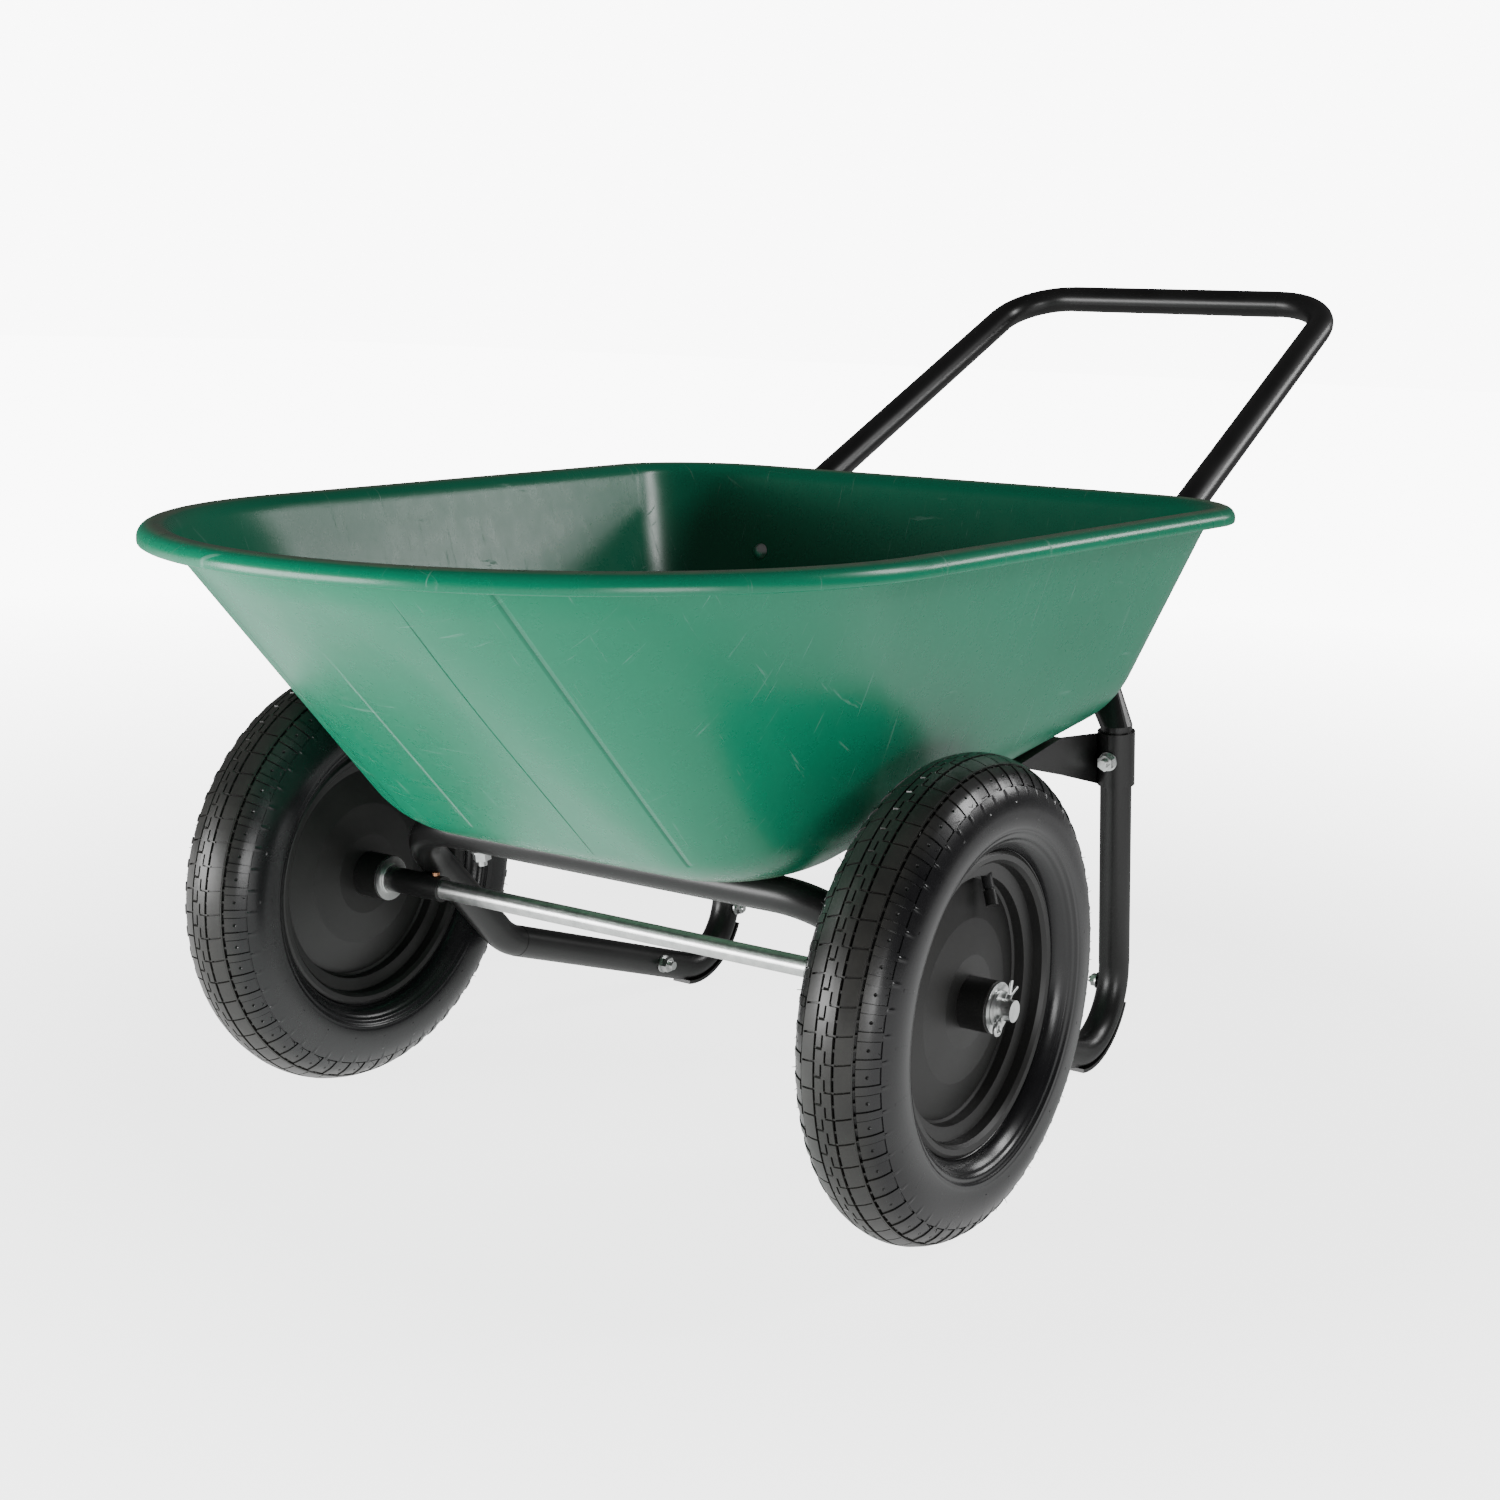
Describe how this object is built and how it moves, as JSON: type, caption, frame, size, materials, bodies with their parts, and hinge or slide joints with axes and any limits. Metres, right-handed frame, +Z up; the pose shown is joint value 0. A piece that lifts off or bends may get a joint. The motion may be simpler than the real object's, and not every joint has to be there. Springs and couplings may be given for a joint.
{
  "type": "wheelbarrow",
  "caption": "Garden wheelbarrow with a deep moulded tray on a bent steel tube frame, pneumatic tyres on a cross axle and a loop push handle",
  "frame": {"origin": "centre of the bounding box on the ground", "axes": "+X forward to the tray's nose, +Y to the left wheel along the axle, +Z up"},
  "size_m": [1.3969, 0.674, 0.6985],
  "materials": {
    "tray_plastic": "moulded green polyethylene, soft satin",
    "black_coat": "semi-gloss black powder coat",
    "rim_black": "gloss black paint on pressed steel",
    "zinc_plate": "bright zinc plating",
    "copper_plate": "copper-coloured plating",
    "tyre_rubber": "matt tread, glossier sidewall",
    "tube_rubber": "smooth rubber",
    "cap_plastic": "moulded black cap"
  },
  "bodies": {
    "chassis": {"tray": "tray_plastic", "handle": "black_coat", "front_frame": "black_coat", "axle_sleeves": "black_coat", "set_screws": "copper_plate", "axle": "zinc_plate", "leg_left": "black_coat", "leg_right": "black_coat", "skid_plates": "black_coat", "leg_brackets": "black_coat", "axle_washers": "zinc_plate", "cotter_pins": "zinc_plate", "bolts": "zinc_plate", "nuts": "zinc_plate", "washers": "zinc_plate", "foot_screws": "zinc_plate"},
    "wheel_left": {"tyre_left": "tyre_rubber", "inner_tube_left": "tube_rubber", "rim_outer_left": "rim_black", "rim_inner_left": "rim_black", "hub_left": "rim_black", "bearings_left": "zinc_plate", "valve_stem_left": "tube_rubber", "valve_cap_left": "cap_plastic"},
    "wheel_right": {"tyre_right": "tyre_rubber", "inner_tube_right": "tube_rubber", "rim_outer_right": "rim_black", "rim_inner_right": "rim_black", "hub_right": "rim_black", "bearings_right": "zinc_plate", "valve_stem_right": "tube_rubber", "valve_cap_right": "cap_plastic"}
  },
  "joints": [
    {"name": "wheel_left_spin", "type": "hinge", "parent": "chassis", "child": "wheel_left", "pos_m": [0.317, 0.288, 0.1775], "axis": [0, 1, 0], "continuous": true},
    {"name": "wheel_right_spin", "type": "hinge", "parent": "chassis", "child": "wheel_right", "pos_m": [0.317, -0.288, 0.1775], "axis": [0, 1, 0], "continuous": true}
  ]
}
